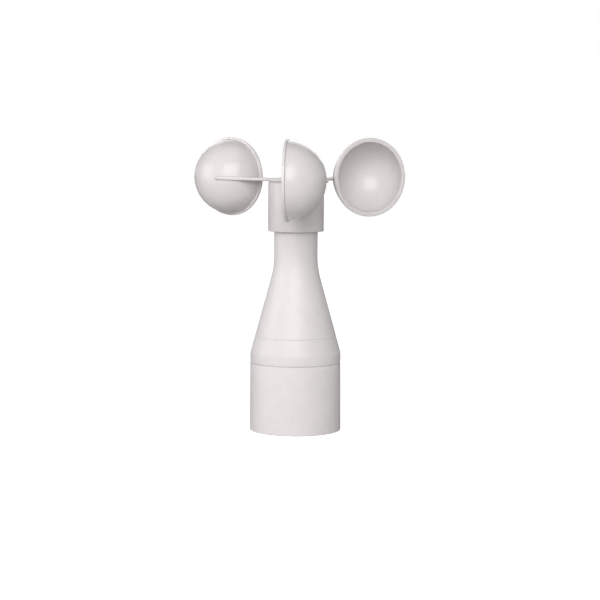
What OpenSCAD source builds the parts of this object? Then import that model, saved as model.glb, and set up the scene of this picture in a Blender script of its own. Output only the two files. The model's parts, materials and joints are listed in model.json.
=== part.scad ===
// Three-cup anemometer: a rotor of hemispherical cups on a tapered weatherproof housing.
// The origin is on the rotor's axis at the underside of the base, with +Z up.
// The rotor turns anticlockwise seen from above, with the backs of the cups leading.

/* [Cups] */
// Outer radius of each cup's bowl
bowl_r = 20.7; // [20.3:0.1:21.1]
// Wall thickness of each bowl
bowl_wall = 1.2; // [0.8:0.1:1.6]
// Outer radius of the band around each cup's mouth
rim_r = 21.9; // [21.5:0.1:22.4]
// Width of that band along the cup's axis
rim_w = 1.5; // [1.2:0.1:2.2]
// How far the mouth lies in front of the bowl's centre
rim_front = 0.7; // [0.4:0.1:1]
// Distance from the rotor's axis to the centre of each cup
cup_reach = 45; // [44:0.5:47]
// Height of the cups' centres above the base
cup_z = 138.9; // [138.5:0.1:139.3]

/* [Rotor] */
// Outer radius of the hub's skirt
hub_r = 15.25; // [14.8:0.05:15.4]
// Height of the skirt's lower edge
hub_z0 = 109.8; // [106:0.1:115]
// Radius of the spider's disc
disc_r = 15.6; // [15.4:0.1:16]
// Thickness of the spider's disc
disc_t = 2; // [1.8:0.1:2.2]
// Thickness of an arm where it leaves the disc
arm_t_root = 1.8; // [1.6:0.1:1.9]
// Thickness of an arm where it meets the cup
arm_t_tip = 2; // [1.8:0.1:2.4]

/* [Housing] */
// Radius of the base at its underside
base_r = 25.15; // [25:0.05:25.5]
// Radius of the base where the two shells meet
seam_r = 24.9; // [24.7:0.05:25]
// Height of the seam between the lower and upper shells
seam_z = 37.6; // [36.5:0.1:38]
// Height where the upper shell's short skirt turns into the cone
cone_z = 43; // [42.8:0.1:44]
// Outer radius of the neck
neck_r = 11.95; // [11.9:0.05:12.4]
// Height where the cone and the neck would meet without their blend
neck_corner_z = 90.2; // [89.8:0.1:91.6]
// Radius of the blend between the cone and the neck
neck_blend_r = 50; // [45:1:70]
// Height of the neck's top
neck_top_z = 131.9; // [131.7:0.1:132.3]

/* [Interfaces] */
// Diameter of the circle of bracket inserts in the base
bracket_pcd = 36; // [35.6:0.1:36.4]
// Radius of the bore in each bracket insert, the core of an M4 thread
bracket_hole_r = 1.65; // [1.6:0.01:1.7]
// Radius of the cable bore through the gland's seal
cable_r = 3.25; // [2.5:0.05:3.4]

/* [Hidden] */
$fn = 96;
play = 0.02;
eps = 0.01;
shell = [0.91, 0.90, 0.89];
steel = [0.72, 0.73, 0.75];
brass = [0.80, 0.65, 0.33];
black = [0.10, 0.10, 0.11];
gland_grey = [0.45, 0.46, 0.47];

// Directions of the three arms, and of what lies midway between them
arm_angles = [-90, 30, 150];
gap_angles = [-30, 90, 210];

// Arms: the leading edge runs from the disc to the bowl's back and fades into it at its end.
// An arm's own frame has x along the rotor's motion and y along the arm's radius
arm_tip_turn = 17;
arm_tip_proud = 1.4;
arm_end_turn = 10;
arm_end_sunk = 0.1;
arm_lead_root = [7.2, 12];
arm_lead_tip = [(bowl_r + arm_tip_proud) * cos(arm_tip_turn),
    cup_reach - (bowl_r + arm_tip_proud) * sin(arm_tip_turn)];
arm_end = [(bowl_r - arm_end_sunk) * cos(arm_end_turn),
    cup_reach - (bowl_r - arm_end_sunk) * sin(arm_end_turn)];
arm_inner_tip = [16, cup_reach - 3];
arm_trail_tip = [9, cup_reach - 12];
arm_trail_root = [-2, 13];
arm_mid_z_root = cup_z - 1;
arm_mid_z_tip = cup_z - 0.4;
arm_slope_a = atan2(arm_lead_tip[1] - arm_lead_root[1], arm_lead_tip[0] - arm_lead_root[0]);
arm_run = norm(arm_lead_tip - arm_lead_root);

// Rotor stack, by height
shaft_r = 2;
shaft_z0 = 58.4;
shaft_z1 = 137.9;
bearing_w = 5;
lower_bearing_z = 82.4;
upper_bearing_z = 122.9;
hub_boss_z = 133.1;
hub_roof_z = 133.5;
hub_seat_z = 135.1;
disc_z1 = cup_z + 0.1;
disc_z0 = disc_z1 - disc_t;
arm_z0 = disc_z0 + 0.05;
hub_wall = 1.6;
hub_top_edge = 0.8;
hub_pocket_r = 5.5;
screw_ring_r = 10.5;
clip_t = 0.7;
washer_t = 0.5;
nut_h = 2.2;
nut_across_corners = 8.08;

// Bearings of the 624 size
ball_r = 1;
ball_pitch_r = 4.25;
ball_count = 7;
race_r = 1.03;
bearing_bore_r = 2;
inner_shoulder_r = 3.55;
outer_shoulder_r = 4.95;
bearing_r = 6.5;

// Bearing carrier
carrier_r = 8.5;
carrier_z0 = 77.9;
carrier_flange_t = 3;
carrier_z1 = 130.9;
carrier_mid_r = 5.5;
carrier_screw_ring = 9.8;

// Pick-up and board
board_r = 15.2;
board_z = 52.9;
board_t = 1.6;
board_top = board_z + board_t;
post_ring = 13.2;
code_disc_r = 10.5;
code_disc_z = 60.9;
code_disc_t = 0.8;
code_slots = 16;

// Housing
cone_slope = (seam_r - neck_r) / (neck_corner_z - cone_z);
cone_a = atan(cone_slope);
shell_wall = 2.25;
spigot_r = seam_r - shell_wall - 0.05;
spigot_z1 = seam_z + 5;
spigot_wall = 2.1;
seal_groove_z0 = seam_z + 1.6;
seal_groove_z1 = seam_z + 3.4;
seal_groove_r = spigot_r - 1.1;
base_wall_r = 22;
boss_ring = 19;
boss_r = 3.4;
boss_gap = 0.4;
boss_z1 = 69;
score_z = 52;
edge = 0.4;
pocket_r = 10.5;
pocket_z = 13;
pocket_roof_t = 3;
pocket_wall = 2;
floor_t = 3;
screw_head_z = 3.2;

// Radius of the cone's outside at a height
function cone_at(z) = seam_r - cone_slope * (z - cone_z);

// Points of the blend between the neck and the cone, from the neck down
blend_tan = neck_blend_r * tan(cone_a / 2);
blend_points = [for (i = [0:12]) let (a = cone_a * i / 12)
    [neck_r + neck_blend_r * (1 - cos(a)), neck_corner_z + blend_tan - neck_blend_r * sin(a)]];

// Repeats its children around the axis at the given angles
module around(angles) {
    for (a = angles)
        rotate([0, 0, a])
            children();
}

// A ring from its inner radius, outer radius, lowest height and thickness
module ring(r0, r1, z, t) {
    translate([0, 0, z])
        difference() {
            cylinder(r = r1, h = t);
            translate([0, 0, -1])
                cylinder(r = r0, h = t + 2);
        }
}

// A machine screw whose shank runs up from under its head at z
module screw(r, shank, head_r, head_h, z) {
    translate([0, 0, z])
        cylinder(r = r, h = shank);
    difference() {
        translate([0, 0, z - head_h])
            cylinder(r = head_r, h = head_h);
        translate([0, 0, z - head_h - 1])
            cylinder(r = head_r * 0.5, h = 1 + head_h * 0.5, $fn = 6);
    }
}

// ---- Cups and arms ----

// One cup about its own axis, with the back of the bowl towards +Z
module cup_shell() {
    rotate_extrude()
        difference() {
            union() {
                intersection() {
                    circle(r = bowl_r);
                    translate([0, -eps])
                        square([bowl_r + 1, bowl_r + 1]);
                }
                translate([0, -rim_front])
                    square([rim_r, rim_w]);
            }
            circle(r = bowl_r - bowl_wall);
            translate([-1, -rim_front - 1])
                square([bowl_r - bowl_wall + 1, rim_front + 1]);
            translate([-bowl_r - 1, -bowl_r - 1])
                square([bowl_r + 1, 2 * bowl_r + 2]);
        }
}

// The cup in its place on the arm at angle a
module cup(a) {
    color(shell)
        rotate([0, 0, a + 90])
            translate([0, -cup_reach, cup_z])
                rotate([0, 90, 0])
                    cup_shell();
}

module cup_1() {
    cup(arm_angles[0]);
}

module cup_2() {
    cup(arm_angles[1]);
}

module cup_3() {
    cup(arm_angles[2]);
}

// Outline of one arm from above, in the arm's own frame
module arm_plan() {
    polygon([
        for (p = [arm_lead_root, arm_lead_tip, arm_end, arm_inner_tip, arm_trail_tip,
                arm_trail_root])
            [p[0], -p[1]]
    ]);
}

// Outline of one arm from its leading side, rising towards the cup
module arm_side() {
    reach = 6;
    grow = (arm_t_tip - arm_t_root) / 2 / arm_run;
    rise = (arm_mid_z_tip - arm_mid_z_root) / arm_run;
    function mid(s) = arm_mid_z_root + rise * s;
    function half(s) = arm_t_root / 2 + grow * s;
    polygon([
        [-reach, mid(-reach) - half(-reach)],
        [arm_run + reach, mid(arm_run + reach) - half(arm_run + reach)],
        [arm_run + reach, mid(arm_run + reach) + half(arm_run + reach)],
        [-reach, mid(-reach) + half(-reach)]
    ]);
}

module arm() {
    difference() {
        intersection() {
            translate([0, 0, arm_z0])
                linear_extrude(height = 8)
                    arm_plan();
            translate([arm_lead_root[0], -arm_lead_root[1], 0])
                rotate([0, 0, -arm_slope_a])
                    rotate([90, 0, 0])
                        linear_extrude(height = 60, center = true)
                            arm_side();
        }
        translate([0, -cup_reach, cup_z])
            sphere(r = bowl_r);
    }
}

module arm_spider() {
    color(shell)
        difference() {
            union() {
                translate([0, 0, disc_z0])
                    cylinder(r = disc_r, h = disc_t);
                for (a = arm_angles)
                    rotate([0, 0, a + 90])
                        arm();
            }
            translate([0, 0, disc_z0 - 1])
                cylinder(r = hub_pocket_r, h = disc_t + 2);
            around(gap_angles)
                translate([screw_ring_r, 0, 0])
                    countersink();
        }
}

// Space of a countersunk screw in the disc
module countersink() {
    translate([0, 0, disc_z0 - 1])
        cylinder(r = 1.4, h = disc_t + 2);
    translate([0, 0, disc_z1 - 1.4])
        cylinder(r1 = 1.4, r2 = 2.8, h = 1.4 + eps);
}

module spider_screws() {
    color(steel)
        around(gap_angles)
            translate([screw_ring_r, 0, 0])
                difference() {
                    union() {
                        translate([0, 0, hub_roof_z + 0.6])
                            cylinder(r = 1.25, h = disc_z1 - hub_roof_z - 1.2);
                        translate([0, 0, disc_z1 - 1.35])
                            cylinder(r1 = 1.3, r2 = 2.6, h = 1.3);
                    }
                    translate([0, 0, disc_z1 - 0.9])
                        cylinder(r = 0.9, h = 1, $fn = 6);
                }
}

// ---- Hub and its fixing ----

module rotor_hub() {
    color(shell)
        difference() {
            rotate_extrude()
                polygon([
                    [shaft_r + play, hub_boss_z], [5, hub_boss_z], [5, hub_roof_z],
                    [hub_r - hub_wall, hub_roof_z], [hub_r - hub_wall, hub_z0 + edge],
                    [hub_r - hub_wall + edge, hub_z0], [hub_r - edge, hub_z0],
                    [hub_r, hub_z0 + edge], [hub_r, disc_z0 - hub_top_edge],
                    [hub_r - hub_top_edge, disc_z0], [hub_pocket_r, disc_z0],
                    [hub_pocket_r, hub_seat_z], [shaft_r + play, hub_seat_z]
                ]);
            around(gap_angles)
                translate([screw_ring_r, 0, hub_roof_z + 0.5])
                    cylinder(r = 1.27, h = 6);
        }
}

module hub_washer() {
    color(steel)
        ring(shaft_r + play, 4.2, hub_seat_z, washer_t);
}

module hub_nut() {
    color(steel)
        translate([0, 0, hub_seat_z + washer_t])
            difference() {
                cylinder(r = nut_across_corners / 2, h = nut_h, $fn = 6);
                translate([0, 0, -1])
                    cylinder(r = shaft_r + play, h = nut_h + 2);
            }
}

module hub_plug() {
    color(shell)
        translate([0, 0, disc_z0])
            rotate_extrude()
                polygon([
                    [0, disc_t - 0.9], [4.6, disc_t - 0.9], [4.6, 0.1],
                    [hub_pocket_r - play, 0.1], [hub_pocket_r - play, disc_t], [0, disc_t]
                ]);
}

// ---- Shaft and what turns with it ----

module rotor_shaft() {
    color(steel)
        difference() {
            translate([0, 0, shaft_z0])
                cylinder(r = shaft_r, h = shaft_z1 - shaft_z0);
            ring(shaft_r - 0.4, shaft_r + 1, lower_bearing_z - clip_t - 0.05, clip_t);
        }
}

module rain_slinger() {
    color(steel)
        rotate_extrude()
            polygon([
                [shaft_r + play, upper_bearing_z + bearing_w], [3.1, upper_bearing_z + bearing_w],
                [3.1, carrier_z1 + 0.6], [8, carrier_z1 + 0.4], [8, carrier_z1 + 1.2],
                [3.6, carrier_z1 + 1.7], [3.6, hub_boss_z], [shaft_r + play, hub_boss_z]
            ]);
}

module inner_spacer() {
    color(steel)
        ring(shaft_r + play, 3, lower_bearing_z + bearing_w,
            upper_bearing_z - lower_bearing_z - bearing_w);
}

// Open retaining clip in the shaft's groove
module shaft_clip() {
    color(steel)
        translate([0, 0, lower_bearing_z - clip_t - 0.05])
            linear_extrude(height = clip_t - 0.05)
                difference() {
                    circle(r = 3.4);
                    circle(r = shaft_r - 0.38);
                    translate([0, -1.1])
                        square([5, 2.2]);
                }
}

module code_disc() {
    color(black)
        translate([0, 0, code_disc_z])
            linear_extrude(height = code_disc_t)
                difference() {
                    circle(r = code_disc_r);
                    circle(r = shaft_r + play);
                    for (i = [0:code_slots - 1])
                        rotate(360 * i / code_slots)
                            translate([7.6, -0.7])
                                square([2, 1.4]);
                }
}

module code_disc_collar() {
    color("silver")
        difference() {
            rotate_extrude()
                polygon([
                    [shaft_r + play, code_disc_z + code_disc_t], [5.6, code_disc_z + code_disc_t],
                    [5.6, code_disc_z + code_disc_t + 1], [4.4, code_disc_z + code_disc_t + 1],
                    [4.4, code_disc_z + 6.2], [shaft_r + play, code_disc_z + 6.2]
                ]);
            translate([0, 0, code_disc_z + 4])
                rotate([0, 90, 0])
                    cylinder(r = 1.02, h = 6);
        }
}

module collar_screw() {
    color(steel)
        translate([shaft_r + play, 0, code_disc_z + 4])
            rotate([0, 90, 0])
                difference() {
                    cylinder(r = 1, h = 2.3);
                    translate([0, 0, 1.3])
                        cylinder(r = 0.5, h = 2, $fn = 6);
                }
}

// ---- Ball bearings ----

module inner_ring(z) {
    color(steel)
        translate([0, 0, z])
            rotate_extrude()
                difference() {
                    translate([bearing_bore_r + play, 0])
                        square([inner_shoulder_r - bearing_bore_r - play, bearing_w]);
                    translate([ball_pitch_r, bearing_w / 2])
                        circle(r = race_r);
                }
}

module outer_ring(z) {
    color(steel)
        translate([0, 0, z])
            rotate_extrude()
                difference() {
                    translate([outer_shoulder_r, 0])
                        square([bearing_r - outer_shoulder_r, bearing_w]);
                    translate([ball_pitch_r, bearing_w / 2])
                        circle(r = race_r);
                }
}

module balls(z) {
    color("gainsboro")
        around([for (i = [0:ball_count - 1]) 360 * i / ball_count])
            translate([ball_pitch_r, 0, z + bearing_w / 2])
                sphere(r = ball_r);
}

module cage(z) {
    color(brass)
        difference() {
            ring(ball_pitch_r - 0.45, ball_pitch_r + 0.45, z + bearing_w / 2 - 1.4, 2.8);
            around([for (i = [0:ball_count - 1]) 360 * i / ball_count])
                translate([ball_pitch_r, 0, z + bearing_w / 2])
                    sphere(r = ball_r + 0.05);
        }
}

module upper_inner_ring() {
    inner_ring(upper_bearing_z);
}

module lower_inner_ring() {
    inner_ring(lower_bearing_z);
}

module upper_outer_ring() {
    outer_ring(upper_bearing_z);
}

module lower_outer_ring() {
    outer_ring(lower_bearing_z);
}

module upper_balls() {
    balls(upper_bearing_z);
}

module lower_balls() {
    balls(lower_bearing_z);
}

module upper_cage() {
    cage(upper_bearing_z);
}

module lower_cage() {
    cage(lower_bearing_z);
}

// ---- Bearing carrier ----

module bearing_carrier() {
    flange_z1 = carrier_z0 + carrier_flange_t;
    color("silver")
        difference() {
            union() {
                translate([0, 0, carrier_z0])
                    cylinder(r = carrier_r, h = carrier_z1 - carrier_z0);
                translate([0, 0, carrier_z0])
                    cylinder(r = 10.2, h = carrier_flange_t);
                around(arm_angles)
                    translate([carrier_screw_ring, 0, carrier_z0])
                        cylinder(r = 2.1, h = carrier_flange_t);
            }
            translate([0, 0, carrier_z0 - 1])
                cylinder(r = carrier_mid_r, h = carrier_z1 - carrier_z0 + 2);
            translate([0, 0, carrier_z0 - 1])
                cylinder(r = bearing_r + play, h = lower_bearing_z + bearing_w - carrier_z0 + 1);
            translate([0, 0, upper_bearing_z])
                cylinder(r = bearing_r + play, h = carrier_z1 - upper_bearing_z + 1);
            ring(bearing_r - 0.5, bearing_r + 0.4, lower_bearing_z - 0.9, 0.9);
            ring(bearing_r - 0.5, bearing_r + 0.4, upper_bearing_z + bearing_w, 0.9);
            around(arm_angles)
                translate([carrier_screw_ring, 0, carrier_z0 - 1])
                    cylinder(r = 1.1, h = carrier_flange_t + 2);
        }
}

// Open clips that keep the outer rings in the carrier
module bearing_clips() {
    color(steel)
        for (z = [lower_bearing_z - 0.85, upper_bearing_z + bearing_w + 0.05])
            translate([0, 0, z])
                linear_extrude(height = 0.8)
                    difference() {
                        circle(r = bearing_r + 0.35);
                        circle(r = bearing_r - 0.9);
                        translate([0, -1.5])
                            square([9, 3]);
                    }
}

module carrier_screws() {
    color(steel)
        around(arm_angles)
            translate([carrier_screw_ring, 0, 0])
                screw(1, 7, 1.8, 1.4, carrier_z0);
}

// ---- Housing ----

// Outline of the upper shell's outside, from the seam up to the neck's top, about the axis
module upper_outside() {
    score = 0.15;
    polygon(concat(
        [[0, seam_z], [seam_r - edge, seam_z], [seam_r, seam_z + edge], [seam_r, cone_z - 0.6],
         [seam_r - 0.06, cone_z], [cone_at(cone_z + 0.8), cone_z + 0.8],
         [cone_at(score_z - score), score_z - score], [cone_at(score_z) - score, score_z],
         [cone_at(score_z + score), score_z + score]],
        [for (i = [12:-1:0]) blend_points[i]],
        [[neck_r, neck_top_z - 0.8], [neck_r - 0.8, neck_top_z], [0, neck_top_z]]
    ));
}

// Outline of the space inside the upper shell
module upper_inside() {
    inner_r = seam_r - shell_wall;
    seat_z = carrier_z0 + carrier_flange_t;
    relief_z0 = carrier_z0 + 13;
    relief_z1 = carrier_z1 - 12;
    polygon([
        [0, seam_z - 1], [inner_r, seam_z - 1], [inner_r, cone_z],
        [cone_at(seat_z) - shell_wall, seat_z], [carrier_r + play, seat_z],
        [carrier_r + play, relief_z0], [9.4, relief_z0 + 1], [9.4, relief_z1],
        [carrier_r + play, relief_z1 + 1],
        [carrier_r + play, neck_top_z + 1], [0, neck_top_z + 1]
    ]);
}

module upper_housing() {
    boss_z = spigot_z1 + boss_gap;
    seat_z = carrier_z0 + carrier_flange_t;
    trim_z1 = neck_corner_z - 4;
    color(shell)
        difference() {
            union() {
                rotate_extrude()
                    difference() {
                        upper_outside();
                        upper_inside();
                    }
                intersection() {
                    union() {
                        around(arm_angles)
                            translate([boss_ring, 0, boss_z])
                                cylinder(r = boss_r, h = boss_z1 - boss_z);
                        around(gap_angles)
                            translate([post_ring, 0, board_top])
                                cylinder(r = 2.1, h = seat_z - board_top + 1);
                    }
                    translate([0, 0, cone_z - 1])
                        cylinder(r1 = cone_at(cone_z - 1) - 1, r2 = cone_at(trim_z1) - 1,
                            h = trim_z1 - cone_z + 1);
                }
            }
            around(arm_angles)
                translate([boss_ring, 0, boss_z - 1])
                    cylinder(r = 1.5 + play, h = 12);
            around(gap_angles)
                translate([post_ring, 0, board_top - 1])
                    cylinder(r = 1 + play, h = 9);
            around(arm_angles)
                translate([carrier_screw_ring, 0, seat_z - 1])
                    cylinder(r = 1 + play, h = 6);
        }
}

// Outline of the lower shell's outside with its spigot, about the axis
module lower_outside() {
    polygon([
        [0, 0], [base_r - edge, 0], [base_r, edge], [seam_r, seam_z - edge],
        [seam_r - edge, seam_z], [spigot_r, seam_z], [spigot_r, seal_groove_z0],
        [seal_groove_r, seal_groove_z0], [seal_groove_r, seal_groove_z1],
        [spigot_r, seal_groove_z1], [spigot_r, spigot_z1 - edge],
        [spigot_r - edge, spigot_z1], [0, spigot_z1]
    ]);
}

// Outline of the space inside the lower shell, around the gland's pocket
module lower_inside() {
    polygon([
        [pocket_r + pocket_wall, floor_t], [base_wall_r, floor_t], [base_wall_r, seam_z - 4],
        [spigot_r - spigot_wall, seam_z - 2.5], [spigot_r - spigot_wall, spigot_z1 + 1],
        [0, spigot_z1 + 1], [0, pocket_z + pocket_roof_t],
        [pocket_r + pocket_wall, pocket_z + pocket_roof_t]
    ]);
}

// Columns around the housing screws, cut to stay inside the wall and the spigot
module screw_columns() {
    intersection() {
        around(arm_angles)
            translate([boss_ring, 0, 1])
                union() {
                    cylinder(r = boss_r, h = spigot_z1 - 1.6);
                    cylinder(r = 5.2, h = 9);
                }
        union() {
            cylinder(r = base_wall_r + 1, h = seam_z - 4);
            cylinder(r = seal_groove_r - 0.2, h = spigot_z1);
        }
    }
}

module lower_housing() {
    color(shell)
        difference() {
            union() {
                rotate_extrude()
                    difference() {
                        lower_outside();
                        lower_inside();
                    }
                screw_columns();
                around(gap_angles)
                    intersection() {
                        translate([bracket_pcd / 2, 0, 1])
                            cylinder(r = 4.6, h = 10.5);
                        cylinder(r = base_wall_r + 1, h = 60);
                    }
            }
            translate([0, 0, -1])
                cylinder(r = pocket_r, h = pocket_z + 1);
            translate([0, 0, pocket_z - 1])
                cylinder(r = 6.1, h = pocket_roof_t + 2);
            around(arm_angles)
                translate([boss_ring, 0, -1])
                    cylinder(r = 1.7, h = 60);
            around(arm_angles)
                translate([boss_ring, 0, -1])
                    cylinder(r = 3.1, h = 7);
            around(gap_angles)
                translate([bracket_pcd / 2, 0, -1])
                    cylinder(r = 2.8, h = 9.5);
        }
}

// Sealing ring squeezed between the spigot and the upper shell
module housing_seal() {
    color(black)
        rotate_extrude()
            intersection() {
                translate([spigot_r - 0.52, (seal_groove_z0 + seal_groove_z1) / 2])
                    circle(r = 0.75);
                translate([seal_groove_r, seam_z])
                    square([1.15, 6]);
            }
}

module housing_screws() {
    color(steel)
        around(arm_angles)
            translate([boss_ring, 0, 0])
                screw(1.5, 46.9, 2.75, 6 - screw_head_z, 6);
}

// Threaded inserts for the bracket's screws
module bracket_inserts() {
    color(brass)
        around(gap_angles)
            translate([bracket_pcd / 2, 0, 0])
                difference() {
                    ring(bracket_hole_r, 2.8, 0.1, 8);
                    ring(2.5, 3.5, 2.6, 0.8);
                    ring(2.5, 3.5, 4.8, 0.8);
                }
}

// ---- Electronics ----

module circuit_board() {
    color("darkgreen")
        difference() {
            translate([0, 0, board_z])
                cylinder(r = board_r, h = board_t);
            around(gap_angles)
                translate([post_ring, 0, board_z - 1])
                    cylinder(r = 1.1, h = board_t + 2);
        }
}

module board_screws() {
    color(steel)
        around(gap_angles)
            translate([post_ring, 0, 0])
                screw(1, 8, 1.8, 1.3, board_z);
}

// Fork light barrier around the edge of the code disc
module light_barrier() {
    color(black)
        rotate([0, 0, 30])
            difference() {
                translate([7.2, -3.2, board_top])
                    cube([7.2, 6.4, 10.8]);
                translate([6.2, -4.2, code_disc_z - 0.8])
                    cube([5.4, 8.4, 2.4]);
                translate([6.2, -4.2, board_top - 1])
                    cube([4.4, 8.4, 3.6]);
            }
}

module controller_chip() {
    color(black)
        translate([-4.4, -1.8, board_top]) {
            translate([-3.5, -3.5, 0.25])
                cube([7, 7, 1.2]);
            for (q = [0:3])
                for (i = [-3:3])
                    rotate([0, 0, 90 * q])
                        translate([3.4, i * 0.8 - 0.2, 0])
                            cube([1.2, 0.4, 0.6]);
        }
}

module board_capacitors() {
    color("dimgray")
        for (p = [[0.5, -10], [6.1, -7.4]])
            translate([p[0], p[1], board_top]) {
                cylinder(r = 2.3, h = 4.6);
                translate([-2.5, -2.5, 0])
                    cube([5, 5, 0.8]);
            }
}

terminal_pitch = 3.5;

module terminal_block() {
    color("seagreen")
        difference() {
            translate([-7.2, -10, board_z - 8.4])
                cube([14.4, 6.6, 8.4]);
            for (i = [-1.5:1.5])
                translate([i * terminal_pitch, -6.7, board_z - 9])
                    cylinder(r = 1.3, h = 4);
            for (i = [-1.5:1.5])
                translate([i * terminal_pitch - 1, -11, board_z - 3.6])
                    cube([2, 5, 2.2]);
        }
}

module terminal_screws() {
    color(steel)
        for (i = [-1.5:1.5])
            translate([i * terminal_pitch, -6.7, board_z - 8])
                difference() {
                    cylinder(r = 1.2, h = 2.8);
                    translate([-2, -0.25, -1])
                        cube([4, 0.5, 1.7]);
                }
}

// ---- Cable gland ----

module gland_body() {
    color(gland_grey)
        difference() {
            union() {
                translate([0, 0, pocket_z - 4])
                    cylinder(r = 9, h = 3, $fn = 6);
                translate([0, 0, 3.2])
                    cylinder(r = 6, h = 20);
            }
            translate([0, 0, 2])
                cylinder(r = 5.2, h = 7.5);
            translate([0, 0, 2])
                cylinder(r = 4, h = 30);
        }
}

module gland_washer() {
    color(black)
        ring(6 + play, 8, pocket_z - 1, 1);
}

module gland_seal() {
    color(black)
        ring(cable_r, 5.2 - play, 3.2, 6.2);
}

module gland_cap() {
    color(gland_grey)
        difference() {
            union() {
                translate([0, 0, 4.4])
                    cylinder(r = 8.4, h = 4.5, $fn = 6);
                translate([0, 0, 1])
                    cylinder(r1 = 6, r2 = 7.2, h = 3.6);
            }
            translate([0, 0, 3.1])
                cylinder(r = 6 + play, h = 7);
            translate([0, 0, 0])
                cylinder(r = 3.7, h = 5);
        }
}

module gland_locknut() {
    color(gland_grey)
        difference() {
            translate([0, 0, pocket_z + pocket_roof_t])
                cylinder(r = 8.4, h = 3, $fn = 6);
            translate([0, 0, pocket_z])
                cylinder(r = 6 + play, h = 8);
        }
}

cup_1();
cup_2();
cup_3();
arm_spider();
rotor_hub();
hub_plug();
hub_nut();
hub_washer();
spider_screws();
rotor_shaft();
rain_slinger();
upper_inner_ring();
lower_inner_ring();
inner_spacer();
shaft_clip();
code_disc();
code_disc_collar();
collar_screw();
upper_balls();
upper_cage();
lower_balls();
lower_cage();
upper_housing();
lower_housing();
housing_seal();
bearing_carrier();
carrier_screws();
upper_outer_ring();
lower_outer_ring();
bearing_clips();
circuit_board();
board_screws();
light_barrier();
controller_chip();
board_capacitors();
terminal_block();
terminal_screws();
housing_screws();
bracket_inserts();
gland_body();
gland_washer();
gland_seal();
gland_cap();
gland_locknut();
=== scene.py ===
"""Looks of the cup anemometer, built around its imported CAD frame. Lengths are in metres."""

import json
import math

import bmesh
import bpy
import numpy as np
from mathutils import Matrix, Quaternion, Vector


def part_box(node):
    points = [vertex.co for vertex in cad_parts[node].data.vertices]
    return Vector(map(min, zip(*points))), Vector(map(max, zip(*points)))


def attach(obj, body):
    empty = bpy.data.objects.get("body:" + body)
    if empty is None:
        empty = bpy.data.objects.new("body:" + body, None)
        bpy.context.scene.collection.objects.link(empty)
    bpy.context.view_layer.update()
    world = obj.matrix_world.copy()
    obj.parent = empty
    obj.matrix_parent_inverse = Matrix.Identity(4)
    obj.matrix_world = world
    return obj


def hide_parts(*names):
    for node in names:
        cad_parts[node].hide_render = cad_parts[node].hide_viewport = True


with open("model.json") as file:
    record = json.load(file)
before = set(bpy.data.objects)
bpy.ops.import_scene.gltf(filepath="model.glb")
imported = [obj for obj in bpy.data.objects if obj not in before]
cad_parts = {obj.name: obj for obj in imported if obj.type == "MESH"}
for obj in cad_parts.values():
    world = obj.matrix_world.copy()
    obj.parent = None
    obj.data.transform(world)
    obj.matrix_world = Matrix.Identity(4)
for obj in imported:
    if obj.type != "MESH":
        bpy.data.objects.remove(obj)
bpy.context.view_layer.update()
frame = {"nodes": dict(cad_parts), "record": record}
NODES = frame["nodes"]
MM = 0.001
ARM_ANGLES = (-90, 30, 150)
GAP_ANGLES = (-30, 90, 210)


# ---- Sizes, taken from the frame ----


def centre_of(node):
    lo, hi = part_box(node)
    return (lo + hi) / 2


def height_of(node):
    lo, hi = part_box(node)
    return lo.z, hi.z


def radius_of(node):
    lo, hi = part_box(node)
    return (hi.x - lo.x) / 2


CUP_Z = centre_of("cup_1").z
CUP_REACH = -centre_of("cup_1").y
RIM_R = (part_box("cup_1")[1].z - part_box("cup_1")[0].z) / 2
RIM_FRONT = -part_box("cup_1")[0].x
RIM_W = 1.5 * MM
BOWL_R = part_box("cup_1")[1].x
BOWL_WALL = 1.2 * MM
HUB_R = radius_of("rotor_hub")
HUB_Z0, HUB_Z1 = height_of("rotor_hub")
PLUG_R = radius_of("hub_plug")
DISC_Z1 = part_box("hub_plug")[1].z
DISC_Z0 = HUB_Z1
DISC_R = 15.6 * MM
DISC_EDGE = 0.9 * MM
SPIDER_SCREW_RING = 10.5 * MM
SPIDER_HOLE_R = 1.4 * MM
SPIDER_SINK_R = 2.8 * MM
PLUG_PLAY = 0.02 * MM
NECK_R = 11.95 * MM
BASE_R = radius_of("lower_housing")
SEAM_R = radius_of("upper_housing")
SEAM_Z, NECK_TOP = height_of("upper_housing")
SPIGOT_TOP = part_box("lower_housing")[1].z


# ---- Outlines: lists of (radius, height) with arcs for the round stretches ----


def arc(cx, cz, r, a0, a1, n):
    """Points on a circle from angle a0 to a1 in degrees, both ends included."""
    angles = [math.radians(a0 + (a1 - a0) * i / n) for i in range(n + 1)]
    return [(cx + r * math.cos(a), cz + r * math.sin(a)) for a in angles]


def rounded(points, steps=5):
    """An outline whose corners (x, z, r) are rounded with radius r; plain points stay as they are."""
    out = []
    count = len(points)
    for i, p in enumerate(points):
        if len(p) < 3 or p[2] <= 0:
            out.append((p[0], p[1]))
            continue
        here = Vector(p[:2])
        back = (Vector(points[i - 1][:2]) - here).normalized()
        ahead = (Vector(points[(i + 1) % count][:2]) - here).normalized()
        half = back.angle(ahead) / 2
        away = (back + ahead).normalized()
        centre = here + away * (p[2] / math.sin(half))
        start = here + back * (p[2] / math.tan(half)) - centre
        end = here + ahead * (p[2] / math.tan(half)) - centre
        turn = start.angle_signed(end)
        for k in range(steps + 1):
            v = start.copy()
            v.rotate(Matrix.Rotation(-turn * k / steps, 2))
            out.append(tuple(centre + v))
    return out


# ---- Mesh building ----


def mesh_object(name, verts, faces):
    mesh = bpy.data.meshes.new(name)
    mesh.from_pydata([tuple(v) for v in verts], [], [tuple(f) for f in faces])
    mesh.validate()
    obj = bpy.data.objects.new(name, mesh)
    bpy.context.scene.collection.objects.link(obj)
    return obj


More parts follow.
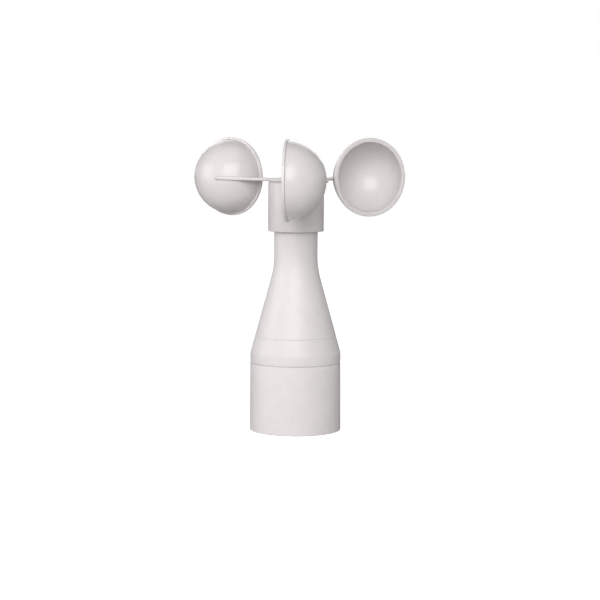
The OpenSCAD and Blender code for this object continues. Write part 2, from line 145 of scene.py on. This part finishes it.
def smooth(obj, angle=32):
    """Smooth shading with sharp edges where faces meet at more than the angle."""
    bm = bmesh.new()
    bm.from_mesh(obj.data)
    limit = math.radians(angle)
    for face in bm.faces:
        face.smooth = True
    for edge in bm.edges:
        edge.smooth = len(edge.link_faces) == 2 and edge.calc_face_angle(0) < limit
    bm.to_mesh(obj.data)
    bm.free()
    return obj


def revolve(name, outline, turns=192, matrix=None):
    """A closed solid of revolution about Z from an outline that runs anticlockwise in (r, z)."""
    verts, faces, rings = [], [], []
    for r, z in outline:
        if r < 1e-9:
            rings.append([len(verts)] * turns)
            verts.append((0, 0, z))
            continue
        rings.append(list(range(len(verts), len(verts) + turns)))
        for k in range(turns):
            a = 2 * math.pi * k / turns
            verts.append((r * math.cos(a), r * math.sin(a), z))
    count = len(outline)
    for i in range(count):
        low, high = rings[i], rings[(i + 1) % count]
        for k in range(turns):
            m = (k + 1) % turns
            loop = [low[k], low[m], high[m], high[k]]
            loop = [v for j, v in enumerate(loop) if v != loop[j - 1]]
            if len(loop) > 2:
                faces.append(loop)
    if matrix is not None:
        verts = [matrix @ Vector(v) for v in verts]
    return mesh_object(name, verts, faces)


def boolean(obj, tool, operation):
    mod = obj.modifiers.new("bool", "BOOLEAN")
    mod.object = tool
    mod.operation = operation
    mod.solver = "EXACT"
    graph = bpy.context.evaluated_depsgraph_get()
    mesh = bpy.data.meshes.new_from_object(obj.evaluated_get(graph))
    obj.modifiers.clear()
    old = obj.data
    obj.data = mesh
    bpy.data.meshes.remove(old)
    bpy.data.objects.remove(tool)


def drum(r, z0, z1, at=(0, 0), turns=64):
    """A round bar, for use in a boolean."""
    outline = [(0, z0), (r, z0), (r, z1), (0, z1)]
    return revolve("tool", outline, turns, Matrix.Translation((at[0], at[1], 0)))


def polar(radius, degrees):
    a = math.radians(degrees)
    return radius * math.cos(a), radius * math.sin(a)


# ---- Materials ----


class Paint:
    """A small helper that wires nodes for one procedural material."""

    def __init__(self, name):
        self.mat = bpy.data.materials.new(name)
        self.mat.use_nodes = True
        self.tree = self.mat.node_tree
        self.shader = self.tree.nodes["Principled BSDF"]
        self.coords = self.node("ShaderNodeTexCoord").outputs["Object"]

    def node(self, kind, **values):
        made = self.tree.nodes.new(kind)
        for key, value in values.items():
            if key in made.inputs:
                made.inputs[key].default_value = value
            else:
                setattr(made, key, value)
        return made

    def link(self, a, b):
        self.tree.links.new(a, b)

    def noise(self, scale, detail=3.0, rough=0.5, stretch=None):
        tex = self.node("ShaderNodeTexNoise")
        tex.inputs["Scale"].default_value = scale
        tex.inputs["Detail"].default_value = detail
        tex.inputs["Roughness"].default_value = rough
        source = self.coords
        if stretch is not None:
            mapping = self.node("ShaderNodeMapping")
            mapping.inputs["Scale"].default_value = stretch
            self.link(self.coords, mapping.inputs["Vector"])
            source = mapping.outputs["Vector"]
        self.link(source, tex.inputs["Vector"])
        return tex.outputs["Fac"]

    def ramp(self, fac, low, high, start=0.3, end=0.7):
        node = self.node("ShaderNodeMapRange")
        node.inputs["From Min"].default_value = start
        node.inputs["From Max"].default_value = end
        node.inputs["To Min"].default_value = low
        node.inputs["To Max"].default_value = high
        self.link(fac, node.inputs["Value"])
        return node.outputs["Result"]

    def tint(self, fac, low, high):
        node = self.node("ShaderNodeMix")
        node.data_type = "RGBA"
        node.inputs[6].default_value = (*low, 1)
        node.inputs[7].default_value = (*high, 1)
        self.link(fac, node.inputs[0])
        return node.outputs[2]

    def set(self, **values):
        for key, value in values.items():
            self.shader.inputs[key.replace("_", " ")].default_value = value

    def bump(self, heights, distance):
        last = None
        for height in heights:
            node = self.node("ShaderNodeBump")
            node.inputs["Strength"].default_value = 1.0
            node.inputs["Distance"].default_value = distance
            self.link(height, node.inputs["Height"])
            if last is not None:
                self.link(last, node.inputs["Normal"])
            last = node.outputs["Normal"]
        self.link(last, self.shader.inputs["Normal"])


def moulded_plastic(name, light, dark, rough, grain=0.00001, sheen=0.5):
    """Injection-moulded plastic: slow tone drift, a fine satin grain and slightly uneven gloss."""
    p = Paint(name)
    drift = p.noise(28, 4, 0.55)
    cloud = p.noise(160, 3, 0.6)
    both = p.node("ShaderNodeMath", operation="MULTIPLY")
    p.link(drift, both.inputs[0])
    p.link(cloud, both.inputs[1])
    p.link(p.tint(p.ramp(both.outputs[0], 0, 1, 0.15, 0.4), dark, light), p.shader.inputs["Base Color"])
    p.link(p.ramp(p.noise(420, 3), rough - 0.04, rough + 0.05), p.shader.inputs["Roughness"])
    p.bump([p.noise(5200, 2), p.noise(900, 2)], grain)
    p.set(IOR=1.5, Specular_IOR_Level=sheen)
    return p.mat


def metal(name, light, dark, rough, stretch=(1, 1, 60)):
    """Turned or ground metal with fine tool marks."""
    p = Paint(name)
    marks = p.noise(300, 3, 0.6, stretch)
    p.link(p.tint(marks, dark, light), p.shader.inputs["Base Color"])
    p.link(p.ramp(marks, rough - 0.06, rough + 0.08), p.shader.inputs["Roughness"])
    p.bump([marks], 0.000008)
    p.set(Metallic=1.0)
    return p.mat


def rubber(name):
    p = Paint(name)
    speck = p.noise(2600, 3)
    p.link(p.tint(speck, (0.012, 0.012, 0.012), (0.035, 0.034, 0.033)), p.shader.inputs["Base Color"])
    p.link(p.ramp(speck, 0.68, 0.85), p.shader.inputs["Roughness"])
    p.bump([speck], 0.00003)
    return p.mat


def laminate(name):
    """Green solder resist over a faint glass weave."""
    p = Paint(name)
    wave = p.node("ShaderNodeTexWave")
    wave.inputs["Scale"].default_value = 900
    wave.inputs["Distortion"].default_value = 1.5
    p.link(p.coords, wave.inputs["Vector"])
    green = p.tint(wave.outputs["Fac"], (0.012, 0.14, 0.05), (0.02, 0.2, 0.075))
    p.link(green, p.shader.inputs["Base Color"])
    p.link(p.ramp(p.noise(700), 0.28, 0.4), p.shader.inputs["Roughness"])
    p.bump([wave.outputs["Fac"]], 0.00001)
    return p.mat


def make_materials():
    shell_light, shell_dark = (0.735, 0.70, 0.695), (0.705, 0.67, 0.665)
    cup_light, cup_dark = (0.70, 0.665, 0.66), (0.672, 0.637, 0.632)
    gland_light, gland_dark = (0.33, 0.34, 0.35), (0.27, 0.28, 0.29)
    return {
        "cup_plastic": moulded_plastic("cup_plastic", cup_light, cup_dark, 0.2, 0.000006, 0.35),
        "housing_plastic": moulded_plastic("housing_plastic", shell_light, shell_dark, 0.4, sheen=0.3),
        "stainless_steel": metal("stainless_steel", (0.66, 0.66, 0.67), (0.5, 0.5, 0.51), 0.3),
        "bearing_steel": metal("bearing_steel", (0.75, 0.76, 0.78), (0.62, 0.63, 0.65), 0.16),
        "brass": metal("brass", (0.78, 0.58, 0.25), (0.62, 0.44, 0.17), 0.3),
        "turned_aluminium": metal("turned_aluminium", (0.78, 0.79, 0.8), (0.64, 0.65, 0.66), 0.32),
        "black_rubber": rubber("black_rubber"),
        "black_plastic": moulded_plastic("black_plastic", (0.03, 0.03, 0.032), (0.018, 0.018, 0.02), 0.5),
        "board_green": laminate("board_green"),
        "capacitor_can": metal("capacitor_can", (0.6, 0.61, 0.63), (0.5, 0.51, 0.52), 0.36),
        "terminal_green": moulded_plastic("terminal_green", (0.07, 0.33, 0.15), (0.05, 0.26, 0.12), 0.45),
        "gland_plastic": moulded_plastic("gland_plastic", gland_light, gland_dark, 0.48, 0.00002),
    }


MATERIALS = make_materials()


def finish_piece(obj, body, slot, nodes, angle=32):
    """Smooths a piece, gives it its material and body, and hides the CAD nodes it stands for."""
    smooth(obj, angle)
    obj.data.materials.clear()
    obj.data.materials.append(MATERIALS[slot])
    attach(obj, body)
    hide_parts(*nodes)
    return obj


# ---- Cups ----


def cup_outline():
    """The cup about its own axis, bowl's back towards +Z: mouth, band, bowl, inside."""
    inner = BOWL_R - BOWL_WALL
    band_back = RIM_W - RIM_FRONT
    crease = 0.7 * MM
    start = math.degrees(math.asin((band_back + crease + 0.2 * MM) / BOWL_R))
    outside = arc(0, 0, BOWL_R, start, 90, 40)
    outside[-1] = (0, BOWL_R)
    inside = arc(0, 0, inner, 90, 0, 40)
    inside[0] = (0, inner)
    band = rounded([
        (inner, 0),
        (inner, -RIM_FRONT, 0.4 * MM),
        (RIM_R, -RIM_FRONT, 0.45 * MM),
        (RIM_R, band_back, 0.45 * MM),
        (BOWL_R, band_back, crease),
        outside[0],
    ], 5)
    return band[1:-1] + outside + inside


def place_on_arm(angle):
    """Carries +Z of a cup about its own axis to the way the cup's back faces."""
    turn = Matrix.Rotation(math.radians(angle + 90), 4, "Z")
    shift = Matrix.Translation((0, -CUP_REACH, CUP_Z))
    return turn @ shift @ Matrix.Rotation(math.radians(90), 4, "Y")


def make_cups():
    for i, angle in enumerate(ARM_ANGLES):
        cup = revolve(f"cup_shell_{i + 1}", cup_outline(), 192, place_on_arm(angle))
        finish_piece(cup, "rotor", "cup_plastic", [f"cup_{i + 1}"])


# ---- Spider: an implicit surface, so that the arms flow into the disc and the bowls ----


def blend_min(a, b, k):
    """Smaller of two distances, with a fillet of about k where they meet."""
    h = np.clip(0.5 + 0.5 * (b - a) / k, 0, 1)
    return b + (a - b) * h - k * h * (1 - h)


def polygon_distance(x, y, corners):
    """Signed distance to a convex polygon given anticlockwise, exact outside its sides."""
    inside = np.full_like(x, -1e9)
    outside = np.full_like(x, 1e9)
    for i, (ax, ay) in enumerate(corners):
        bx, by = corners[(i + 1) % len(corners)]
        ex, ey = bx - ax, by - ay
        length = math.hypot(ex, ey)
        side = ((x - ax) * ey - (y - ay) * ex) / length
        inside = np.maximum(inside, side)
        t = np.clip(((x - ax) * ex + (y - ay) * ey) / length**2, 0, 1)
        outside = np.minimum(outside, np.hypot(x - ax - t * ex, y - ay - t * ey))
    return np.where(inside > 0, outside, inside)


def rounded_slab(flat, up, half, r):
    """Distance to a slab: flat is the plan's distance, up the height off its middle."""
    a, b = flat + r, np.abs(up) - half + r
    return np.minimum(np.maximum(a, b), 0) + np.hypot(np.maximum(a, 0), np.maximum(b, 0)) - r


ARM_HALF_ROOT, ARM_HALF_TIP = 0.9 * MM, 1.0 * MM
ARM_DROP_ROOT, ARM_DROP_TIP = 1.0 * MM, 0.4 * MM
ARM_EDGE = 0.7 * MM
ARM_DISC_BLEND = 0.6 * MM
ARM_BOWL_FILLET = 0.15 * MM
LEAD_ROOT = np.array([7.2, -12.0]) * MM


def on_bowl(turn, proud):
    """A point beside the bowl in an arm's plan, turned from the rotor's motion towards the hub."""
    a, r = math.radians(turn), BOWL_R + proud
    return np.array([r * math.cos(a), r * math.sin(a) - CUP_REACH])


LEAD_TIP = on_bowl(17, 1.4 * MM)
ARM_PLAN = [
    (-2 * MM, -13 * MM),
    (9 * MM, -CUP_REACH + 12 * MM),
    (16 * MM, -CUP_REACH + 3 * MM),
    tuple(on_bowl(10, -0.1 * MM)),
    tuple(LEAD_TIP),
    tuple(LEAD_ROOT),
    (2 * MM, -8 * MM),
]


def spider_distance(x, y, z):
    """Signed distance to the disc with its three arms, outside the bowls."""
    third = 2 * math.pi / 3
    a = np.arctan2(y, x) + math.pi / 2
    a = a - third * np.round(a / third)
    r = np.hypot(x, y)
    u, v = r * np.sin(a), -r * np.cos(a)
    disc = rounded_slab(r - DISC_R, z - (DISC_Z0 + DISC_Z1) / 2, (DISC_Z1 - DISC_Z0) / 2, DISC_EDGE)
    run = np.linalg.norm(LEAD_TIP - LEAD_ROOT)
    way = (LEAD_TIP - LEAD_ROOT) / run
    along = (u - LEAD_ROOT[0]) * way[0] + (v - LEAD_ROOT[1]) * way[1]
    share = np.clip(along / run, 0, 1)
    half = ARM_HALF_ROOT + (ARM_HALF_TIP - ARM_HALF_ROOT) * share
    middle = CUP_Z - ARM_DROP_ROOT + (ARM_DROP_ROOT - ARM_DROP_TIP) * share
    arm = rounded_slab(polygon_distance(u, v, ARM_PLAN), z - middle, half, ARM_EDGE)
    body = blend_min(arm, disc, ARM_DISC_BLEND)
    ball = np.sqrt(u**2 + (v + CUP_REACH) ** 2 + (z - CUP_Z) ** 2)
    skin = blend_min(body, ball - BOWL_R + 0.03 * MM, ARM_BOWL_FILLET)
    skin = np.maximum(skin, body - 1.15 * ARM_BOWL_FILLET)
    return np.maximum(skin, BOWL_R - 0.4 * MM - ball)


def surface_net(distance, low, high, step):
    """Vertices and quads of the surface where a distance function is zero."""
    axes = [np.arange(low[i], high[i] + step, step) for i in range(3)]
    x, y, z = np.meshgrid(*axes, indexing="ij")
    field = distance(x, y, z)
    inside = field < 0
    shape = np.array(field.shape)
    total = np.zeros(tuple(shape - 1) + (3,))
    hits = np.zeros(tuple(shape - 1))
    quads = []
    for axis in range(3):
        near = [slice(None)] * 3
        far = [slice(None)] * 3
        near[axis], far[axis] = slice(0, -1), slice(1, None)
        f0, f1 = field[tuple(near)], field[tuple(far)]
        cross = inside[tuple(near)] != inside[tuple(far)]
        part = np.where(cross, f0 / np.where(cross, f0 - f1, 1), 0)
        i, j, k = np.nonzero(cross)
        point = np.stack([axes[0][i], axes[1][j], axes[2][k]], 1)
        point[:, axis] += part[i, j, k] * step
        others = [o for o in range(3) if o != axis]
        cells = []
        for da, db in ((0, 0), (-1, 0), (-1, -1), (0, -1)):
            cell = np.stack([i, j, k], 1)
            cell[:, others[0]] += da
            cell[:, others[1]] += db
            np.add.at(total, tuple(cell.T), point)
            np.add.at(hits, tuple(cell.T), 1)
            cells.append(cell)
        rising = inside[tuple(near)][i, j, k]
        if axis == 1:
            rising = ~rising
        quads.append((cells, rising))
    used = hits > 0
    index = np.full(hits.shape, -1)
    index[used] = np.arange(used.sum())
    verts = total[used] / hits[used][:, None]
    faces = []
    for cells, rising in quads:
        loops = np.stack([index[tuple(c.T)] for c in cells], 1)
        loops[~rising] = loops[~rising][:, ::-1]
        faces.append(loops)
    for _ in range(4):
        verts = settle(distance, verts, step)
    return verts, np.concatenate(faces)


def settle(distance, verts, step):
    """Moves points along the distance's slope onto its zero surface."""
    h = step * 0.1
    value = distance(*verts.T)
    slope = np.stack([
        (distance(*(verts + h * np.eye(3)[i]).T) - distance(*(verts - h * np.eye(3)[i]).T)) / (2 * h)
        for i in range(3)
    ], 1)
    size = np.maximum((slope**2).sum(1), 0.05)
    move = value / size
    limit = step * 0.3
    return verts - np.clip(slope * move[:, None], -limit, limit)


def make_spider():
    reach = CUP_REACH + 4 * MM
    low = (-reach, -reach, DISC_Z0 - 1.5 * MM)
    high = (reach, reach, DISC_Z1 + 1.5 * MM)
    step = 0.24 * MM
    verts, faces = surface_net(spider_distance, low, high, step)
    spider = mesh_object("spider_moulding", verts, faces)
    boolean(spider, drum(PLUG_R + PLUG_PLAY, DISC_Z0 - MM, DISC_Z1 + MM), "DIFFERENCE")
    for angle in GAP_ANGLES:
        at = polar(SPIDER_SCREW_RING, angle)
        sink_z0 = DISC_Z1 - (SPIDER_SINK_R - SPIDER_HOLE_R)
        outline = [
            (0, DISC_Z0 - MM), (SPIDER_HOLE_R, DISC_Z0 - MM), (SPIDER_HOLE_R, sink_z0),
            (SPIDER_SINK_R, DISC_Z1), (SPIDER_SINK_R, DISC_Z1 + MM), (0, DISC_Z1 + MM),
        ]
        tool = revolve("tool", outline, 48, Matrix.Translation((*at, 0)))
        boolean(spider, tool, "DIFFERENCE")
    finish_piece(spider, "rotor", "cup_plastic", ["arm_spider"], 40)


# ---- Hub ----


def make_hub():
    bore = 2.02 * MM
    inner = HUB_R - 1.6 * MM
    bevel = 0.8 * MM
    pocket = PLUG_R + PLUG_PLAY
    roof, boss = HUB_Z0 + 23.7 * MM, HUB_Z0 + 23.3 * MM
    seat = boss + 2 * MM
    outline = rounded([
        (bore, boss), (5 * MM, boss, 0.2 * MM), (5 * MM, roof), (inner, roof, 0.8 * MM),
        (inner, HUB_Z0, 0.4 * MM), (HUB_R, HUB_Z0, 0.5 * MM), (HUB_R, HUB_Z1 - bevel, 0.3 * MM),
        (HUB_R - bevel, HUB_Z1), (pocket, HUB_Z1), (pocket, seat), (bore, seat),
    ], 5)
    hub = revolve("hub_skirt", outline)
    for angle in GAP_ANGLES:
        at = polar(SPIDER_SCREW_RING, angle)
        tool = drum(1.27 * MM, roof + 0.5 * MM, HUB_Z1 + MM, at, turns=32)
        boolean(hub, tool, "DIFFERENCE")
    finish_piece(hub, "rotor", "cup_plastic", ["rotor_hub"])


def make_plug():
    z0, z1 = height_of("hub_plug")
    lip = 4.6 * MM
    outline = rounded([
        (0, z1 - 0.9 * MM), (lip, z1 - 0.9 * MM, 0.15 * MM), (lip, z0, 0.15 * MM),
        (PLUG_R, z0, 0.15 * MM), (PLUG_R, z1, 0.3 * MM), (0, z1),
    ], 4)
    plug = revolve("hub_cap", outline, 96)
    finish_piece(plug, "rotor", "cup_plastic", ["hub_plug"])


# ---- Housing shells ----


CONE_Z = SEAM_Z + 5.4 * MM
CORNER_Z = SEAM_Z + 52.6 * MM
BLEND_R = 50 * MM
CONE_SLOPE = (SEAM_R - NECK_R) / (CORNER_Z - CONE_Z)
SHELL_WALL = 2.25 * MM
SCORE_Z = SEAM_Z + 14.4 * MM
SCORE_HALF, SCORE_DEPTH = 0.35 * MM, 0.25 * MM
SEAT_Z = SEAM_Z + 43.3 * MM
BORE_R = 8.52 * MM
HOUSING_SCREW_RING = 19 * MM
BOARD_SCREW_RING = 13.2 * MM
CARRIER_SCREW_RING = 9.8 * MM
INSERT_RING = 18 * MM
POST_R = 3.4 * MM


def cone_r(z):
    return SEAM_R - CONE_SLOPE * (z - CONE_Z)


def upper_outline():
    """The upper shell: inside from the neck down, then outside from the seam up."""
    slope = math.degrees(math.atan(CONE_SLOPE))
    reach = BLEND_R * math.tan(math.radians(slope / 2))
    blend = arc(NECK_R + BLEND_R, CORNER_Z + reach, BLEND_R, 180 + slope, 180, 40)
    skirt = SEAM_R - SHELL_WALL
    score_z0, score_z1 = SCORE_Z - SCORE_HALF, SCORE_Z + SCORE_HALF
    corner = rounded([
        (skirt, NECK_TOP), (skirt, SEAM_Z, 0.3 * MM), (SEAM_R, SEAM_Z, 0.7 * MM),
        (SEAM_R, CONE_Z, 3 * MM), (cone_r(score_z0), score_z0),
    ], 8)[1:]
    groove = [(cone_r(SCORE_Z) - SCORE_DEPTH, SCORE_Z), (cone_r(score_z1), score_z1)]
    neck_end = [(NECK_R, NECK_TOP, 0.8 * MM), (BORE_R, NECK_TOP, 0.3 * MM)]
    top = rounded([blend[-1], *neck_end, (BORE_R, SEAM_Z)], 6)
    inside = [
        (BORE_R, NECK_TOP - 12 * MM), (9.4 * MM, NECK_TOP - 13 * MM), (9.4 * MM, SEAT_Z + 11 * MM),
        (BORE_R, SEAT_Z + 10 * MM), (BORE_R, SEAT_Z), (cone_r(SEAT_Z) - SHELL_WALL, SEAT_Z),
        (skirt, CONE_Z),
    ]
    return corner + groove + blend + top[1:-1] + inside


def make_upper_shell():
    shell = revolve("upper_shell", upper_outline(), 256)
    boss_z = SPIGOT_TOP + 0.4 * MM
    board_top = SEAM_Z + 16.9 * MM
    inset = 1 * MM
    limit = [
        (0, CONE_Z - MM), (cone_r(CONE_Z - MM) - inset, CONE_Z - MM),
        (cone_r(SEAT_Z + 5.3 * MM) - inset, SEAT_Z + 5.3 * MM), (0, SEAT_Z + 5.3 * MM),
    ]
    long_post = (POST_R, boss_z, SEAM_Z + 31.4 * MM, 1.52 * MM, 11 * MM)
    board_post = (2.1 * MM, board_top, SEAT_Z + MM, 1.02 * MM, 8 * MM)
    posts = [(HOUSING_SCREW_RING, a, *long_post) for a in ARM_ANGLES]
    posts += [(BOARD_SCREW_RING, a, *board_post) for a in GAP_ANGLES]
    for ring, angle, r, z0, z1, hole, depth in posts:
        at = polar(ring, angle)
        post = drum(r, z0, z1, at)
        boolean(post, revolve("tool", limit, 96), "INTERSECT")
        boolean(shell, post, "UNION")
        boolean(shell, drum(hole, z0 - MM, z0 + depth, at, turns=32), "DIFFERENCE")
    for angle in ARM_ANGLES:
        at = polar(CARRIER_SCREW_RING, angle)
        tool = drum(1.02 * MM, SEAT_Z - MM, SEAT_Z + 5 * MM, at, turns=32)
        boolean(shell, tool, "DIFFERENCE")
    finish_piece(shell, "housing", "housing_plastic", ["upper_housing"], 28)


def lower_outline():
    """The lower shell: recess of the gland, underside, side, spigot with its groove, inside."""
    spigot = SEAM_R - SHELL_WALL - 0.05 * MM
    bore = spigot - 2.1 * MM
    wall = 22 * MM
    groove_r = spigot - 1.1 * MM
    g0, g1 = SEAM_Z + 1.6 * MM, SEAM_Z + 3.4 * MM
    pocket, roof, roof_top = 10.5 * MM, 13 * MM, 16 * MM
    return rounded([
        (6.1 * MM, roof), (pocket, roof, 0.5 * MM), (pocket, 0, 0.5 * MM), (BASE_R, 0, 0.6 * MM),
        (SEAM_R, SEAM_Z, 0.35 * MM), (spigot, SEAM_Z), (spigot, g0, 0.1 * MM), (groove_r, g0),
        (groove_r, g1), (spigot, g1, 0.1 * MM), (spigot, SPIGOT_TOP, 0.4 * MM),
        (bore, SPIGOT_TOP, 0.3 * MM), (bore, SEAM_Z - 2.5 * MM), (wall, SEAM_Z - 4 * MM),
        (wall, 3 * MM, 0.8 * MM), (pocket + 2 * MM, 3 * MM, 0.8 * MM),
        (pocket + 2 * MM, roof_top, 0.5 * MM), (6.1 * MM, roof_top),
    ], 6)


def make_lower_shell():
    shell = revolve("lower_shell", lower_outline(), 256)
    limit = [
        (0, 0), (22.9 * MM, 0), (22.9 * MM, SEAM_Z - 4 * MM), (21 * MM, SEAM_Z - 4 * MM),
        (21 * MM, SPIGOT_TOP), (0, SPIGOT_TOP),
    ]
    column_top = SPIGOT_TOP - 0.6 * MM
    for angle in ARM_ANGLES:
        at = polar(HOUSING_SCREW_RING, angle)
        outline = [
            (0, MM), (5.2 * MM, MM), (5.2 * MM, 10 * MM), (POST_R, 10.6 * MM),
            (POST_R, column_top), (0, column_top),
        ]
        column = revolve("tool", outline, 64, Matrix.Translation((*at, 0)))
        boolean(column, revolve("tool", limit, 96), "INTERSECT")
        boolean(shell, column, "UNION")
        boolean(shell, drum(1.7 * MM, -MM, SPIGOT_TOP + MM, at, turns=48), "DIFFERENCE")
        boolean(shell, flared_hole(3.1 * MM, 6 * MM, 0.35 * MM, at), "DIFFERENCE")
    for angle in GAP_ANGLES:
        at = polar(INSERT_RING, angle)
        boss = drum(4.6 * MM, MM, 11.5 * MM, at)
        boolean(boss, revolve("tool", limit, 96), "INTERSECT")
        boolean(shell, boss, "UNION")
        boolean(shell, flared_hole(2.8 * MM, 8.5 * MM, 0.3 * MM, at), "DIFFERENCE")
    finish_piece(shell, "housing", "housing_plastic", ["lower_housing"], 28)


def flared_hole(r, depth, flare, at):
    """A tool for a blind hole from the underside with a chamfered mouth."""
    outline = [
        (0, -MM), (r + flare + MM, -MM), (r, flare), (r, depth), (0, depth),
    ]
    return revolve("tool", outline, 64, Matrix.Translation((at[0], at[1], 0)))


# ---- CAD nodes that stay ----


def dress_cad_nodes():
    """Gives each carried-over node the procedural material of its slot."""
    slots = {s["node"]: s["material_slot"] for s in frame["record"]["subparts"]}
    for name, obj in NODES.items():
        obj.data.materials.clear()
        obj.data.materials.append(MATERIALS[slots[name]])


# ---- Stage, light and camera ----


# The world's strength at the horizon and below, and the height of the view where it is gone
LOW_GLOW = 0.78
GLOW_HEIGHT = 0.5
LIGHT_DISTANCE = 1.5
LIGHT_AIM_Z = 0.09
# Name, azimuth, elevation, width and height in metres, power in watts
SOFTBOXES = (
    ("front", 5, 25.5, (1.2, 1.0), 20.1),
    ("left", -75, 10, (1.0, 1.0), 8.9),
    ("top", 0, 80, (1.0, 1.0), 2.6),
    ("back", 185, 25, (1.2, 1.0), 5.0),
)
FLOOR_COLOUR = (0.6, 0.6, 0.6)
FLOOR_GLOW = 1.0
FLOOR_GAP = 0.05 * MM
FLOOR_REACH = 8.0
CAMERA_AZIMUTH = 5.84
CAMERA_ELEVATION = 5.55
CAMERA_ROLL = 0.26
CAMERA_DISTANCE = 1.0
CAMERA_LENS = 109
SENSOR_WIDTH = 36
AIM_RIGHT = 2.4 * MM
AIM_Z = 71.85 * MM


def make_floor():
    """A white floor. It looks evenly lit to the camera but throws back only a little light."""
    size, z = FLOOR_REACH, -FLOOR_GAP
    corners = [(-size, -size, z), (size, -size, z), (size, size, z), (-size, size, z)]
    floor = mesh_object("floor", corners, [(0, 1, 2, 3)])
    mat = bpy.data.materials.new("floor")
    mat.use_nodes = True
    tree = mat.node_tree
    shader = tree.nodes["Principled BSDF"]
    shader.inputs["Base Color"].default_value = (*FLOOR_COLOUR, 1)
    shader.inputs["Roughness"].default_value = 1.0
    shader.inputs["Specular IOR Level"].default_value = 0.0
    shader.inputs["Emission Color"].default_value = (1, 1, 1, 1)
    path = tree.nodes.new("ShaderNodeLightPath")
    glow = tree.nodes.new("ShaderNodeMath")
    glow.operation = "MULTIPLY"
    glow.inputs[1].default_value = FLOOR_GLOW
    tree.links.new(path.outputs["Is Camera Ray"], glow.inputs[0])
    tree.links.new(glow.outputs[0], shader.inputs["Emission Strength"])
    floor.data.materials.append(mat)


def area_light(name, azimuth, elevation, distance, size, power):
    """A softbox that faces the rotor. Azimuth 0 is straight in front, negative to the left."""
    data = bpy.data.lights.new(name, "AREA")
    data.shape = "RECTANGLE"
    data.size, data.size_y = size
    data.energy = power
    a, e = math.radians(azimuth), math.radians(elevation)
    back = Vector((math.sin(a) * math.cos(e), -math.cos(a) * math.cos(e), math.sin(e)))
    obj = bpy.data.objects.new(name, data)
    obj.location = Vector((0, 0, LIGHT_AIM_Z)) + back * distance
    obj.rotation_mode = "QUATERNION"
    obj.rotation_quaternion = (-back).to_track_quat("-Z", "Y")
    bpy.context.scene.collection.objects.link(obj)


def make_light():
    """A wide softbox in front, weaker ones at the left, above and behind, and a low glow all round."""
    world = bpy.data.worlds.new("studio")
    bpy.context.scene.world = world
    world.use_nodes = True
    tree = world.node_tree
    background = tree.nodes["Background"]
    background.inputs["Color"].default_value = (1, 1, 1, 1)
    way = tree.nodes.new("ShaderNodeTexCoord")
    parts = tree.nodes.new("ShaderNodeSeparateXYZ")
    low_glow = tree.nodes.new("ShaderNodeMapRange")
    low_glow.inputs["From Min"].default_value = GLOW_HEIGHT
    low_glow.inputs["From Max"].default_value = 0
    low_glow.inputs["To Max"].default_value = LOW_GLOW
    path = tree.nodes.new("ShaderNodeLightPath")
    strength = tree.nodes.new("ShaderNodeMapRange")
    strength.inputs["To Max"].default_value = 1.0
    tree.links.new(way.outputs["Generated"], parts.inputs["Vector"])
    tree.links.new(parts.outputs["Z"], low_glow.inputs["Value"])
    tree.links.new(low_glow.outputs["Result"], strength.inputs["To Min"])
    tree.links.new(path.outputs["Is Camera Ray"], strength.inputs["Value"])
    tree.links.new(strength.outputs["Result"], background.inputs["Strength"])
    for name, azimuth, elevation, size, power in SOFTBOXES:
        area_light(name, azimuth, elevation, LIGHT_DISTANCE, size, power)


def make_camera():
    data = bpy.data.cameras.new("camera")
    data.lens = CAMERA_LENS
    data.sensor_width = SENSOR_WIDTH
    data.clip_start, data.clip_end = 0.01, 100
    camera = bpy.data.objects.new("camera", data)
    a, e = math.radians(CAMERA_AZIMUTH), math.radians(CAMERA_ELEVATION)
    back = Vector((math.sin(a) * math.cos(e), -math.cos(a) * math.cos(e), math.sin(e)))
    right = Vector((math.cos(a), math.sin(a), 0))
    aim = right * AIM_RIGHT + Vector((0, 0, AIM_Z))
    camera.location = aim + back * CAMERA_DISTANCE
    camera.rotation_mode = "QUATERNION"
    roll = Quaternion((0, 0, 1), math.radians(CAMERA_ROLL))
    camera.rotation_quaternion = (-back).to_track_quat("-Z", "Y") @ roll
    bpy.context.scene.collection.objects.link(camera)
    bpy.context.scene.camera = camera


bpy.context.scene.view_settings.view_transform = "Standard"
make_camera()
make_light()
make_floor()
dress_cad_nodes()
make_cups()
make_spider()
make_hub()
make_plug()
make_upper_shell()
make_lower_shell()
